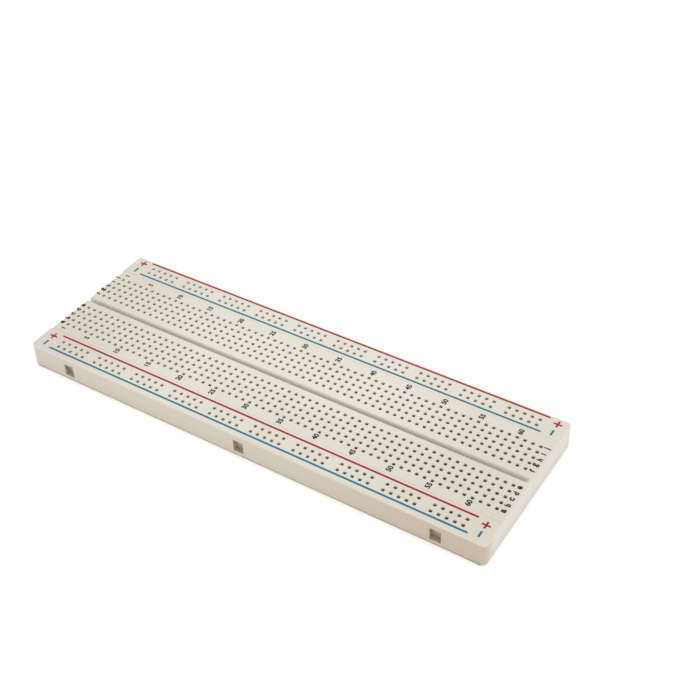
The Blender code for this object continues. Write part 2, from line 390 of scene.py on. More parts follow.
def walls(top, bottom, soft):
    """All four sides of a block, with arcs where a soft corner begins or ends a side."""
    ends = [((-1, -1), (1, -1)), ((1, -1), (1, 1)), ((1, 1), (-1, 1)), ((-1, 1), (-1, -1))]
    made = []
    for top_run, bottom_run, (first, last) in zip(sides_of(top), sides_of(bottom), ends):
        made.append(wall(top_run, bottom_run, ARC * (first in soft), ARC * (last in soft)))
    return joined(made)


def pocket_part(xs, ys, hole_at):
    """A contact pocket open at the bottom: a roof of hole cells and four walls down to the base.

    For each cell of the roof's grid, hole_at has the hole's place, or None where the roof is plain.
    """
    parts = []
    last_ring = ring(HOLE_RINGS[-1][0], POCKET_TOP)
    for i in range(len(xs) - 1):
        for j in range(len(ys) - 1):
            box = (xs[i], xs[i + 1], ys[j], ys[j + 1])
            if hole_at[i][j]:
                parts.append(cell_round(last_ring + (*hole_at[i][j], 0), *box, POCKET_TOP))
            else:
                points = np.array([(x, y, POCKET_TOP) for x, y in rectangle(*box)])
                parts.append((points, [np.array([(0, 1, 2, 3)])]))
    x, y = np.meshgrid(xs, ys, indexing="ij")
    roof = np.stack([x, y, np.full(x.shape, POCKET_TOP)], -1)
    for run in sides_of(roof):
        feet = run[[0, -1]] * (1, 1, 0) + (0, 0, BASE)
        loop = np.concatenate([np.arange(len(run)), [len(run) + 1, len(run)]])
        parts.append((np.concatenate([run, feet]), [loop[None]]))
    return joined(parts)


def without(xs, ys, places):
    """Which cells of a grid stay: all but those that hold one of the places."""
    keep = np.ones((len(xs) - 1, len(ys) - 1), bool)
    keep[np.searchsorted(xs, places[:, 0]) - 1, np.searchsorted(ys, places[:, 1]) - 1] = False
    return keep


def lines(*groups):
    """Grid lines in order, with repeats left out."""
    return np.unique(np.round(np.concatenate([np.ravel(group) for group in groups]), 9))


print("a round corner has", 2 * ARC, "segments")

# %% [markdown]
# ## Slots and tabs
#
# Tabs on each strip's +Y side press into slots in the next strip, which is how the real board
# is joined. They are few, so each is a block joined to or cut from the welded moulding by a
# Boolean that is applied at once. The slot mouths flare slightly, and the tabs have a blunt tip.

# %% Slots and tabs
SLOT_LOW, SLOT_MIDDLE, SLOT_HIGH = 1.7 * MM, 3.9 * MM, 6.1 * MM
TAB_LOW, TAB_HIGH = 2.0 * MM, 5.8 * MM
# a section is (distance from the face, half width, height added above and below), in millimetres
SLOT_SECTIONS = [(-1.0, 1.84, 0.04), (0.0, 1.84, 0.04), (0.05, 1.8, 0.0), (1.8, 1.74, -0.06)]
TAB_SECTIONS = [(-0.5, 1.5, 0.0), (1.3, 1.5, 0.0), (1.6, 1.25, -0.25)]


def at_slots(face_y, low, high, table):
    """A block at each of a side's three places: the table's rectangles, joined from first to last."""
    sections = []
    for along, half, more in table:
        corners = rectangle(-half * MM, half * MM, low - more * MM, high + more * MM)
        sections.append(np.array([(x, face_y + along * MM, z) for x, z in corners]))
    return copies(stacked(sections), [(x, 0, 0) for x in SLOT_X])


def combined(target, part, operation):
    """The target joined with or cut by a part: an exact Boolean, applied, its helper removed."""
    helper = add_mesh(f"{target.name}_{operation.lower()}", part)
    step = target.modifiers.new("step", "BOOLEAN")
    step.operation = operation
    step.solver = "EXACT"
    step.object = helper
    graph = bpy.context.evaluated_depsgraph_get()
    result = bpy.data.meshes.new_from_object(target.evaluated_get(graph))
    target.modifiers.clear()
    old = target.data
    target.data = result
    bpy.data.meshes.remove(old)
    bpy.data.objects.remove(helper, do_unlink=True)
    result.name = target.name
    tidy(target)


def housing(name, xs, ys, base_xs, base_ys, radii, soft, holes, boxes, pockets, channel=False):
    """A moulding: top grid with hole cells, walls, base with its pockets, tabs and slots.

    A box is a pocket's low X, high X, low Y and high Y, and the base's grid lines run along it too.
    """
    low, high = housing_box(name)
    top = sheet_points(xs, ys, low, high, radii, soft, TOP, 1)
    if channel:
        depth = channel_depth(top[..., 0], top[..., 1])
        top[..., 2] = np.minimum(top[..., 2], TOP - depth)
    boxes = np.array(boxes)
    base_xs = lines(base_xs, boxes[:, :2])
    base_ys = lines(base_ys, boxes[:, 2:])
    centres = np.stack([boxes[:, :2].mean(1), boxes[:, 2:].mean(1)], 1)
    base = sheet_points(base_xs, base_ys, low, high, radii, soft, BASE, 0)
    parts = [grid_part(top, without(xs, ys, holes)), copies(hole_cell(), holes)]
    parts += [walls(top, base, soft), grid_part(base, without(base_xs, base_ys, centres)), *pockets]
    made = add_mesh(f"{BUSES.get(name, 'terminal')}_moulding", joined(parts))
    cad_low, cad_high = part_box(name)
    combined(made, at_slots(cad_high.y - TAB, TAB_LOW, TAB_HIGH, TAB_SECTIONS), "UNION")
    combined(made, at_slots(cad_low.y, SLOT_LOW, SLOT_HIGH, SLOT_SECTIONS), "DIFFERENCE")
    return made


print("slots at", [round(x / MM, 1) for x in SLOT_X], "mm")

# %% [markdown]
# ## Terminal strip
#
# The wide moulding holds chips and parts: ten rows of 63 holes, five on each side of the channel.
# The five holes of one column on one side share a pocket, so the pocket is made once and copied
# along the row. Grid lines run at every edge, tile and channel depth, and all parts weld on them.

# %% Terminal strip
ROW_OFFSETS = FIRST_ROW + np.arange(ROWS) * PITCH
TERMINAL_ROWS = np.concatenate([-ROW_OFFSETS[::-1], ROW_OFFSETS])


def terminal_strip():
    """The wide moulding: ten rows of holes, a channel open at one end, one pocket per contact."""
    low, high = housing_box("terminal_strip")
    columns = np.arange(1, COLUMNS + 1)
    tiles_x = column_x(np.arange(COLUMNS + 1) + 0.5)
    tiles_y = FIRST_ROW - PITCH / 2 + np.arange(ROWS + 1) * PITCH
    groove = CHANNEL[1:, 0]
    xs = lines(
        edge_lines(low[0], 1, EDGE_RADIUS, EDGE_RADIUS),
        edge_lines(high[0], -1, EDGE_RADIUS, EDGE_RADIUS),
        tiles_x,
        CHANNEL_STOP + CHANNEL_RAMP[:, 0],
    )
    ys = lines(
        edge_lines(low[1], 1, SEAM_RADIUS, SEAM_MARGIN),
        edge_lines(high[1], -1, SEAM_RADIUS, SEAM_MARGIN),
        tiles_y,
        -tiles_y,
        groove,
        -groove,
    )
    half = POCKET / 2
    rear = np.array([ROW_OFFSETS[0] - half, *tiles_y[1:-1], ROW_OFFSETS[-1] + half])
    boxes, made = [], []
    for ys_here, rows in ((rear, ROW_OFFSETS), (-rear[::-1], -ROW_OFFSETS[::-1])):
        one = pocket_part(np.array([-half, half]), ys_here, [[(0.0, row) for row in rows]])
        made.append(copies(one, [(x, 0, 0) for x in column_x(columns)]))
        boxes += [(x - half, x + half, ys_here[0], ys_here[-1]) for x in column_x(columns)]
    grids = (xs, ys, (low[0], high[0]), (low[1], high[1]))
    radii = (EDGE_RADIUS, EDGE_RADIUS, SEAM_RADIUS, SEAM_RADIUS)
    holes = hole_places(columns, TERMINAL_ROWS)
    return housing("terminal_strip", *grids, radii, (), holes, boxes, made, channel=True)


housings = {"terminal_strip": terminal_strip()}
print("holes", COLUMNS * 2 * ROWS)

# %% [markdown]
# ## Bus strips
#
# The two narrow mouldings carry power along the board: two rows of fifty holes each, in groups of
# five, over two long pockets. One function makes both, and the outer side, which has the round
# corners, is at low Y on one and at high Y on the other.

# %% Bus strips


def bus_strip(name, outer):
    """A narrow moulding: two rows of holes over two long pockets, with round outer corners."""
    low, high = housing_box(name)
    middle = outer * BUS_MIDDLE
    columns = bus_columns()
    rows = middle + np.array([-0.5, 0.5]) * PITCH
    tiles_x = column_x(np.arange(FIRST_BUS, LAST_BUS + 2) - 0.5)
    tiles_y = middle + np.array([-1, 0, 1]) * PITCH
    half = POCKET / 2
    left_lines = edge_lines(low[0], 1, EDGE_RADIUS, CORNER_RADIUS)
    side_lines = lines(left_lines, edge_lines(high[0], -1, EDGE_RADIUS, CORNER_RADIUS))
    outer_face, seam_face = (low[1], high[1]) if outer < 0 else (high[1], low[1])
    outer_lines = edge_lines(outer_face, -outer, EDGE_RADIUS, CORNER_RADIUS)
    seam_lines = edge_lines(seam_face, outer, SEAM_RADIUS, SEAM_MARGIN)
    xs = lines(side_lines, tiles_x)
    ys = lines(outer_lines, seam_lines, tiles_y)
    inner = np.array([column_x(FIRST_BUS) - half, *tiles_x[1:-1], column_x(LAST_BUS) + half])
    made, boxes = [], []
    for row in rows:
        hole_at = []
        for column in range(FIRST_BUS, LAST_BUS + 1):
            hole_at.append([(column_x(column), row) if column in columns else None])
        made.append(pocket_part(inner, np.array([row - half, row + half]), hole_at))
        boxes.append((inner[0], inner[-1], row - half, row + half))
    front, back = (EDGE_RADIUS, SEAM_RADIUS) if outer < 0 else (SEAM_RADIUS, EDGE_RADIUS)
    radii = (EDGE_RADIUS, EDGE_RADIUS, front, back)
    soft = ((-1, outer), (1, outer))
    grids = (xs, ys, side_lines, lines(outer_lines, [seam_face]))
    return housing(name, *grids, radii, soft, hole_places(columns, rows), boxes, made)


for strip, outer in OUTER.items():
    housings[strip] = bus_strip(strip, outer)
print("bus holes", 4 * len(bus_columns()))

# %% [markdown]
# ## Spring contacts
#
# A real contact is stamped from springy sheet and bent: a flat base with two upturned sides, and a
# pair of leaning fingers for each hole, with flared tips that let a wire in. Each of the 126
# terminal contacts is a piece of its own, and each bus rail is one long piece. The bent sheet's
# outline is extruded along the row, which costs few faces.

# %% Spring contacts
CONTACT_LOW = 0.9 * MM
CONTACT_RISE = 1.4 * MM
CONTACT_HALF = 0.72 * MM
SHEET = 0.2 * MM
FINGER_SHEET = 0.16 * MM
FINGER_HALF = 0.95 * MM
# a finger's (distance from the middle, height), in millimetres
FINGER = np.array([(0.62, 2.2), (0.52, 3.6), (0.24, 5.5), (0.28, 5.9), (0.46, 6.6)]) * MM
OVERHANG = 0.72 * MM  # how far a contact goes on past its first and last hole
BEND_SMOOTH = 25  # degrees, so that the sheet's bends stay crisp


def thickened(path, thickness):
    """Both sides of a bent sheet: each point moved half the thickness along its joint's normal."""
    path = np.asarray(path, float)
    runs = np.diff(path, axis=0)
    runs /= np.linalg.norm(runs, axis=1)[:, None]
    normals = np.stack([-runs[:, 1], runs[:, 0]], 1)
    joint = np.concatenate([normals[:1], (normals[:-1] + normals[1:]) / 2, normals[-1:]])
    joint /= np.linalg.norm(joint, axis=1)[:, None]
    return np.concatenate([path + joint * thickness / 2, (path - joint * thickness / 2)[::-1]])


def contact(name, holes, start, stop, middle, along_x):
    """A contact under the given holes: a channel-shaped base, and two fingers at each hole."""
    half, low = CONTACT_HALF, CONTACT_LOW
    rise = low + CONTACT_RISE
    floor = low + SHEET
    base = [(-half, low), (half, low), (half, rise), (half - SHEET, rise), (half - SHEET, floor)]
    base += [(-half + SHEET, floor), (-half + SHEET, rise), (-half, rise)]
    parts = [extruded(base, start, stop, along_x)]
    for mirror in (1, -1):
        outline = thickened(FINGER * (mirror, 1), FINGER_SHEET)
        one = extruded(outline, -FINGER_HALF, FINGER_HALF, along_x)
        places = [(hole, 0, 0) if along_x else (0, hole, 0) for hole in holes]
        parts.append(copies(one, places))
    points, faces = joined(parts)
    shift = (0, middle, 0) if along_x else (middle, 0, 0)
    return add_mesh(name, (points + shift, faces), BEND_SMOOTH)


contacts = {}
for letters, side in (("ae", -1), ("fj", 1)):
    rows = np.sort(side * ROW_OFFSETS)
    for column in range(1, COLUMNS + 1):
        first = (column - 1) // 3 * 3 + 1
        bank = f"contacts_{letters}_{first:02d}_{first + 2:02d}"
        reach = (rows[0] - OVERHANG, rows[-1] + OVERHANG)
        name = f"contact_{letters}_{column:02d}"
        contacts[name] = (contact(name, rows, *reach, float(column_x(column)), False), bank)
rails = {}
for strip, body in BUSES.items():
    middle = OUTER[strip] * BUS_MIDDLE
    for sign, offset in (("minus", -0.5), ("plus", 0.5)):
        holes = column_x(bus_columns())
        reach = (holes[0] - OVERHANG, holes[-1] + OVERHANG)
        made = contact(f"{body}_{sign}_contact", holes, *reach, middle + offset * PITCH, True)
        rails[f"{strip}_{sign}_rail"] = (made, body)
print(len(contacts), "contacts and", len(rails), "rails")

# %% [markdown]
# ## Foam tape and liner
#
# The underside is closed by double-sided foam tape with a paper liner still on it. Tape is cut on
# a plotter or by hand, so its edge wavers slightly and the soft foam bulges between its faces.
# The outline is computed as a rectangle whose sides waver by a few hundredths of a millimetre.

# %% Foam tape and liner
FOAM_SPREAD = 0.32 * MM  # how much wider than in the CAD model the squashed foam is, on each side
FOAM_STEP, FOAM_WAVER = 1.5 * MM, 0.2 * MM
LINER_STEP, LINER_WAVER = 2.5 * MM, 0.12 * MM


def wavering(low, high, step, amount, seed):
    """A rectangle's outline as points every step, each moved inwards by smoothed random amounts."""
    random = np.random.default_rng(seed)
    corners = rectangle(low[0], high[0], low[1], high[1])
    points = []
    for place, corner in enumerate(corners):
        run = np.subtract(corners[(place + 1) % 4], corner)
        count = max(2, int(np.abs(run).max() / step))
        share = np.arange(count)[:, None] / count
        inwards = np.array([-run[1], run[0]]) / np.linalg.norm(run)
        raw = np.convolve(random.random(count + 8), np.ones(9) / 9, "valid")[:count]
        fade = np.clip(np.minimum(np.arange(count), count - np.arange(count)) / 4, 0, 1)
        points.append(np.array(corner) + run * share + inwards * (raw * fade * amount)[:, None])
    return np.concatenate(points)


def layered(outline, levels):
    """A flat pad: its outline at several heights, each drawn in towards the middle by an inset."""
    centre = (outline.max(0) + outline.min(0)) / 2
    half = (outline.max(0) - outline.min(0)) / 2
    rings = []
    for height, inset in levels:
        scaled = centre + (outline - centre) * (1 - inset / half)
        rings.append(np.column_stack([scaled, np.full(len(outline), height)]))
    return stacked(rings)


pads = {}
for seed, strip in enumerate(("terminal_strip", *BUSES)):
    low, high = (np.array(corner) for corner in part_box(f"{strip}_liner"))
    liner_top = high[2]
    body = BUSES.get(strip, "terminal")
    spread = np.array([0.0, FOAM_SPREAD])
    edge = wavering(low[:2] - spread, high[:2] + spread, FOAM_STEP, FOAM_WAVER, seed)
    foam_levels = [(liner_top, 0.02 * MM), (liner_top + 0.12 * MM, 0.0)]
    foam_levels += [(BASE - 0.14 * MM, 0.0), (BASE, 0.03 * MM)]
    pads[f"{strip}_foam"] = (add_mesh(f"{body}_foam_tape", layered(edge, foam_levels)), body)
    spread = spread / 2
    edge = wavering(low[:2] - spread, high[:2] + spread, LINER_STEP, LINER_WAVER, seed + 10)
    liner_levels = [(0.0, 0.0), (liner_top, 0.0)]
    pads[f"{strip}_liner"] = (add_mesh(f"{body}_paper_liner", layered(edge, liner_levels)), body)
print(sorted(pads))

# %% [markdown]
# ## Printed markings
#
# Row letters, column numbers, rail lines and polarity signs are pad-printed. Each colour on each
# strip is one piece: a film sunk slightly into the plastic, so that no gap shows under its edge.
# Letters and numbers read along Y, with their tops towards -X. They come from the built-in font,
# turned into a mesh before it is placed.

# %% Printed markings
FILM_LOW = TOP - 0.02 * MM
INK_RADIUS = 0.12 * MM
CAP_HEIGHT = 0.72  # a capital's height in the built-in font, as a share of its size


def film(outline):
    """A closed prism over an outline, from just inside the plastic to the CAD top."""
    return layered(np.asarray(outline, float), [(FILM_LOW, 0.0), (CAD_TOP, 0.0)])


def bar(low_x, high_x, low_y, high_y):
    """A bar with slightly rounded corners: quarter circles round points set in from its corners."""
    points = []
    corners = ((high_x, high_y), (low_x, high_y), (low_x, low_y), (high_x, low_y))
    inwards = ((-1, -1), (1, -1), (1, 1), (-1, 1))
    for quarter, (corner, toward) in enumerate(zip(corners, inwards)):
        turns = pi / 2 * (quarter + np.linspace(0, 1, 4))
        centre = np.array(corner) + np.array(toward) * INK_RADIUS
        points.append(centre + INK_RADIUS * np.stack([np.cos(turns), np.sin(turns)], 1))
    return film(np.concatenate(points))


def plus_sign(x, y, half, thick):
    """A plus: twelve corners round two crossed bars."""
    t = thick / 2
    corner = [(half, -t), (half, t), (t, t), (t, half), (-t, half), (-t, t)]
    corner += [(-half, t), (-half, -t), (-t, -t), (-t, -half), (t, -half), (t, -t)]
    return film(np.array(corner) + (x, y))


def text_part(words, height, x, y, weight=0.04):
    """Words as closed film, centred on a place: their own right goes to +Y and their top to -X.

    The weight is how far each outline is thickened, as a share of the font's size.
    """
    curve = bpy.data.curves.new("words", "FONT")
    curve.body = words
    curve.size = 1.0
    curve.resolution_u = 5
    curve.offset = weight
    curve.extrude = 0.1
    holder = bpy.data.objects.new("words", curve)
    bpy.context.scene.collection.objects.link(holder)
    graph = bpy.context.evaluated_depsgraph_get()
    mesh = bpy.data.meshes.new_from_object(holder.evaluated_get(graph))
    flat = np.empty(len(mesh.vertices) * 3)
    mesh.vertices.foreach_get("co", flat)
    flat = flat.reshape(-1, 3)
    faces = [np.array([tuple(face.vertices)]) for face in mesh.polygons]
    bpy.data.objects.remove(holder, do_unlink=True)
    bpy.data.curves.remove(curve)
    bpy.data.meshes.remove(mesh)
    middle = (flat.max(0) + flat.min(0)) / 2
    across, up, above = ((flat - middle) * (height / CAP_HEIGHT)).T
    raised = np.where(above > 0, CAD_TOP, FILM_LOW)
    return np.stack([x - up, y + across, raised], 1), faces


print("film", round((CAD_TOP - FILM_LOW) / MM, 3), "mm thick")

# %% [markdown]
# ## Letters and numbers
#
# A row letter stands beyond each end of its row, and a number beside column 1 and every fifth
# column. Small letters without a stem are set larger, because they fill less of their height.

# %% Letters and numbers
LETTER_X = (-81.0 * MM, 80.8 * MM)
NUMBER_Y = (-16.2 * MM, 16.4 * MM)
PRINT_HEIGHT = 1.65 * MM
SMALL_HEIGHT = 1.95 * MM

black = []
for letter, row in zip("abcdefghij", TERMINAL_ROWS):
    for x in LETTER_X:
        height = SMALL_HEIGHT if letter in "aceg" else PRINT_HEIGHT
        weight = 0.04 if letter in "eg" else 0.05
        black.append(text_part(letter, height, x, row, weight))
for column in (1, *range(5, 61, 5)):
    for y in NUMBER_Y:
        black.append(text_part(str(column), PRINT_HEIGHT, float(column_x(column)), y))
black_print = add_mesh("terminal_black_print", joined(black))
prints = {"terminal_black_print": (black_print, "terminal", "black_ink")}

# %% [markdown]
# ## Rail lines and signs
#
# A red line with a plus at each end marks one rail, and a blue line with a minus marks the other.
# The two strips were printed separately, so the blue ink sits a little differently on each.

# %% Rail lines and signs
LINE_ENDS = (-75.85 * MM, 76.0 * MM)
HALF_LINE = 0.34 * MM
SIGN_X = (-78.5 * MM, 79.1 * MM)
RED_LINE = 3.45 * MM  # from the strip's middle, towards +Y
PLUS, PLUS_HALF, PLUS_THICK = 1.9 * MM, 1.38 * MM, 0.62 * MM
BLUE_LINE = {"front_bus_strip": 3.1 * MM, "rear_bus_strip": 3.38 * MM}  # towards -Y
MINUS = {"front_bus_strip": 1.75 * MM, "rear_bus_strip": 2.15 * MM}
MINUS_HALF = 1.2 * MM

for strip, body in BUSES.items():
    middle = OUTER[strip] * BUS_MIDDLE
    red_y = middle + RED_LINE
    blue_y = middle - BLUE_LINE[strip]
    reds = [bar(*LINE_ENDS, red_y - HALF_LINE, red_y + HALF_LINE)]
    blues = [bar(*LINE_ENDS, blue_y - HALF_LINE, blue_y + HALF_LINE)]
    for x in SIGN_X:
        reds.append(plus_sign(x, middle + PLUS, PLUS_HALF, PLUS_THICK))
        y = middle - MINUS[strip]
        blues.append(bar(x - HALF_LINE, x + HALF_LINE, y - MINUS_HALF, y + MINUS_HALF))
    for tint, parts in (("red", reds), ("blue", blues)):
        name = f"{body}_{tint}_print"
        prints[name] = (add_mesh(name, joined(parts)), body, f"{tint}_ink")
print(sorted(prints))

# %% [markdown]
# ## Shader sums
#
# A finish is a sum of noises, so a small class wraps one output of a node tree and lets it be
# added and multiplied like a number. Everything is laid on Object coordinates: every piece keeps
# its origin at the frame's, so one pattern runs across pieces in metres.

# %% Shader sums


class Term:
    """One output in a material's node tree; arithmetic on it adds Math nodes."""

    def __init__(self, tree, socket=None):
        self.tree = tree
        self.socket = socket

    def node(self, kind, inputs, output=0, **settings):
        """A node of that type: settings first, then inputs by name or number; gives an output."""
        made = self.tree.nodes.new(kind)
        for name, value in settings.items():
            setattr(made, name, value)
        for key, value in inputs.items():
            if isinstance(value, Term):
                self.tree.links.new(value.socket, made.inputs[key])
            else:
                made.inputs[key].default_value = value
        return Term(self.tree, made.outputs[output])

    def maths(self, operation, *terms):
        """A Math node on the terms in turn."""
        return self.node("ShaderNodeMath", dict(enumerate(terms)), operation=operation)

    def __add__(self, other):
        return self.maths("ADD", self, other)

    def __sub__(self, other):
        return self.maths("SUBTRACT", self, other)

    def __rsub__(self, other):
        return self.maths("SUBTRACT", other, self)

    def __mul__(self, other):
        return self.maths("MULTIPLY", self, other)

    __radd__ = __add__
    __rmul__ = __mul__

    def size(self):
        """This value without its sign."""
        return self.maths("ABSOLUTE", self)

    def between(self, low, high):
        """This value's place between low and high, kept from 0 to 1 with soft ends."""
        inputs = {"Value": self, "From Min": low, "From Max": high}
        return self.node("ShaderNodeMapRange", inputs, interpolation_type="SMOOTHSTEP")

    def blend(self, first, second):
        """A colour from the first, at 0, to the second, at 1."""
        inputs = {0: self, 6: first, 7: second}
        return self.node("ShaderNodeMix", inputs, output=2, data_type="RGBA")


print("a term has", sorted(name for name in vars(Term) if name[0] != "_"))

# %% [markdown]
# ## Colours, noise and a material
#
# Every finish below uses the same few helpers: a colour, a noise, a bump, and a material that
# links what its recipe gives. Noise makes the faint unevenness that every real surface has.

# %% Colours, noise and a material


def colour(red, green, blue):
    """A linear colour with its alpha."""
    return (red, green, blue, 1.0)


def noise(place, scale, detail=2.0, roughness=0.5, stretch=None):
    """Noise from 0 to 1 with that many features in a metre, stretched along chosen axes."""
    if stretch:
        place = place.node("ShaderNodeVectorMath", {0: place, 1: stretch}, operation="MULTIPLY")
    inputs = {"Vector": place, "Scale": scale, "Detail": detail, "Roughness": roughness}
    return place.node("ShaderNodeTexNoise", inputs, noise_dimensions="3D")


def finish_of(name, recipe, **constants):
    """A material whose recipe gives its varying inputs, and whose constants go on the shader."""
    made = bpy.data.materials.new(name)
    made.use_nodes = True
    tree = made.node_tree
    shader = tree.nodes["Principled BSDF"]
    place = Term(tree).node("ShaderNodeTexCoord", {}, output="Object")
    for key, value in constants.items():
        shader.inputs[key.replace("_", " ")].default_value = value
    for key, term in recipe(place).items():
        tree.links.new(term.socket, shader.inputs[key])
    return made


def bumped(place, height, distance, strength):
    """A normal that tilts with the height, which is in units of the distance."""
    inputs = {"Height": height, "Distance": distance, "Strength": strength}
    return place.node("ShaderNodeBump", inputs)


finishes = {}
print("finishes so far", len(finishes))

# %% [markdown]
# ## Contact metal, foam and paper
#
# The contacts are rolled and plated sheet with grain along it, the tape is foam with open cells,
# and the liner is waxed paper with fibres. Each is two colours mixed by noise, which is stretched
# where the real stuff has a direction, with a very fine bump.

# %% Contact metal, foam and paper


def metal(place):
    """Rolled spring sheet: fine grain along Z, brighter and duller patches, uneven roughness."""
    grain = noise(place, 9000.0, stretch=(1.0, 1.0, 0.12))
    patches = noise(place, 700.0)
    base = (0.5 * grain + 0.5 * patches).between(0.3, 0.7)
    base = base.blend(colour(0.62, 0.58, 0.49), colour(0.50, 0.46, 0.38))
    roughness = 0.24 + 0.16 * grain
    return {"Base Color": base, "Roughness": roughness, "Normal": bumped(place, grain, 8e-6, 0.3)}


def foam(place):
    """Open cells: dark spots where they are cut through, over a mottled olive-brown darkened by
    painted shade.
    """
    inputs = {"Vector": place, "Scale": 3200.0}
    cells = place.node("ShaderNodeTexVoronoi", inputs, feature="F1")
    mottle = noise(place, 400.0, 3.0)
    share = (cells * 1.1 + mottle * 0.4).between(0.35, 0.95)
    # The dark olive-brown is partly the foam's own tone and partly painted shade, the shadow under the
    # housing's overhang.
    base = share.blend(colour(0.20, 0.19, 0.10), colour(0.07, 0.065, 0.035))
    roughness = 0.80 + 0.15 * mottle
    return {"Base Color": base, "Roughness": roughness, "Normal": bumped(place, cells, 8e-5, 0.6)}


def paper(place):
    """Waxed paper: short fibres across a pale yellow-green, slightly shiny where the wax pools."""
    fibres = noise(place, 1800.0, 3.0, stretch=(0.15, 1.0, 1.0))
    pools = noise(place, 160.0)
    share = (0.6 * fibres + 0.4 * pools).between(0.35, 0.65)
    base = share.blend(colour(0.50, 0.47, 0.17), colour(0.40, 0.38, 0.13))
    roughness = 0.42 + 0.25 * pools
    return {"Base Color": base, "Roughness": roughness, "Normal": bumped(place, fibres, 1.5e-5, 0.3)}


finishes["contact_metal"] = finish_of("contact_metal", metal, Metallic=1.0)
finishes["tape_foam"] = finish_of("tape_foam", foam)
finishes["liner_paper"] = finish_of("liner_paper", paper)
print(sorted(finishes))

# %% [markdown]
# ## Inks
#
# Pad-printing ink is a thin matt film that lets the plastic through in specks. One recipe serves
# the three inks, which differ only in their full and their thin colours.

# %% Inks
INKS = {
    "red_ink": (colour(0.31, 0.007, 0.011), colour(0.42, 0.05, 0.045)),
    "blue_ink": (colour(0.005, 0.155, 0.240), colour(0.05, 0.26, 0.36)),
    "black_ink": (colour(0.010, 0.009, 0.008), colour(0.04, 0.037, 0.03)),
}


def ink(full, thin):
    """A recipe for an ink: mostly full colour, with thin specks and a wandering gloss."""

    def recipe(place):
        """Two noises in one share, of which only the high values thin the colour."""
        specks = noise(place, 4200.0, roughness=0.6)
        cover = noise(place, 260.0)
        share = (0.75 * specks + 0.25 * cover).between(0.56, 0.80)
        return {"Base Color": share.blend(full, thin), "Roughness": 0.42 + 0.16 * cover}

    return recipe


for name, (full, thin) in INKS.items():
    finishes[name] = finish_of(name, ink(full, thin), Specular_IOR_Level=0.2)
print(sorted(finishes))

# %% [markdown]
# ## Ivory plastic
#
# Moulded ABS isn't one flat colour: it flows in faint clouds and carries the mould's fine spark
# texture. Painted shade darkens its lower walls, front wall, bores, channel and slots, and the
# top is darker and warmer towards its ends and front. Each tone is a ramp or a box in the frame's
# metres.

# %% Ivory plastic


def wall_and_top(base, x, y, z):
    """Painted shade on the walls, and a top that is darker and warmer towards its ends.

    Painted shade makes the lower walls darker and warmer towards the floor, and the front wall a
    little warmer and darker, more so towards its right end. The top is faintly darker and warmer
    towards its two ends and its front.
    """
    # Painted shade: the lower walls darker and warmer towards the floor.
    low_wall_shade = 1.0 - z.between(0.6 * MM, 5.0 * MM)
    base = (0.8 * low_wall_shade).blend(base, colour(0.640, 0.590, 0.495))
    # Painted shade on the front wall below the top, deeper towards its right end.
    front_wall_shade = 0.42 + 0.42 * x.between(10 * MM, 80 * MM)
    front_wall_shade = front_wall_shade * (1.0 - y.between(-27.5 * MM, -22 * MM))
    front_wall_shade = front_wall_shade * (1.0 - z.between(7.6 * MM, 8.6 * MM))
    base = front_wall_shade.blend(base, colour(0.540, 0.440, 0.340))
    # The top faintly darker and warmer towards its two ends and its front.
    top_ends_tone = 0.42 * x.size().between(25 * MM, 85 * MM)
    top_ends_tone = top_ends_tone + 0.15 * (1.0 - y.between(-25 * MM, 12 * MM))
    return (top_ends_tone * z.between(8.5 * MM, 8.9 * MM)).blend(base, colour(0.560, 0.500, 0.430))


def hole_bores(base, x, y, z):
    """Painted shade in the bores: the ivory darkened there, more so towards the right end.

    A bore is where X is near a whole pitch and Y near a half one, above the pockets.
    """
    column = x * (1 / PITCH)
    from_column = (column - column.maths("ROUND", column)).size()
    row = y * (1 / PITCH)
    from_row = (row.maths("FRACT", row) - 0.5).size()
    bore = (1.0 - from_column.between(0.20, 0.23)) * (1.0 - from_row.between(0.20, 0.23))
    bore = bore * (TOP - z).between(0.12 * MM, 0.95 * MM) * z.between(6.2 * MM, 6.4 * MM)
    bore = bore * y.size().between(2.0 * MM, 2.2 * MM)
    # Painted shade in the bores: deeper towards the right end, weaker in the bus strips, weakest in
    # the rear one.
    bore_shade_amount = 0.62 + 0.28 * x.between(-10 * MM, 80 * MM) - 0.12 * y.size().between(18 * MM, 19 * MM)
    bore_shade_amount = bore_shade_amount - 0.14 * y.between(18 * MM, 19 * MM)
    return (bore_shade_amount * bore).blend(base, colour(0.040, 0.035, 0.026))


def channel_and_slots(base, x, y, z, slot_face):
    """Painted shade in the channel and in the slots: boxes, deeper with distance inwards."""
    # Painted shade in the channel, deeper with depth below the top.
    channel = 1.0 - y.size().between(1.01 * MM, 1.06 * MM)
    channel = channel * (1.0 - x.between(81.38 * MM, 81.44 * MM)) * z.between(4.8 * MM, 5.0 * MM)
    channel = channel * (TOP - z).between(0.5 * MM, 3.6 * MM)
    base = (0.3 * channel).blend(base, colour(0.600, 0.545, 0.430))
    # Painted shade in the three slots of the strip's -Y face, weaker on their back walls.
    beside = x.maths("MINIMUM", x.size(), (x.size() - SLOT_X[-1]).size())
    inwards = y - slot_face
    slot = (1.0 - beside.between(1.81 * MM, 1.86 * MM)) * inwards.between(0.02 * MM, 0.14 * MM)
    slot = slot * (1.0 - (z - SLOT_MIDDLE).size().between(2.2 * MM, 2.28 * MM))
    slot = slot * (1.0 - 0.55 * inwards.between(1.6 * MM, 1.8 * MM))
    slot = slot * (1.0 - inwards.between(1.82 * MM, 1.9 * MM))
    return (0.6 * slot).blend(base, colour(0.330, 0.275, 0.180))


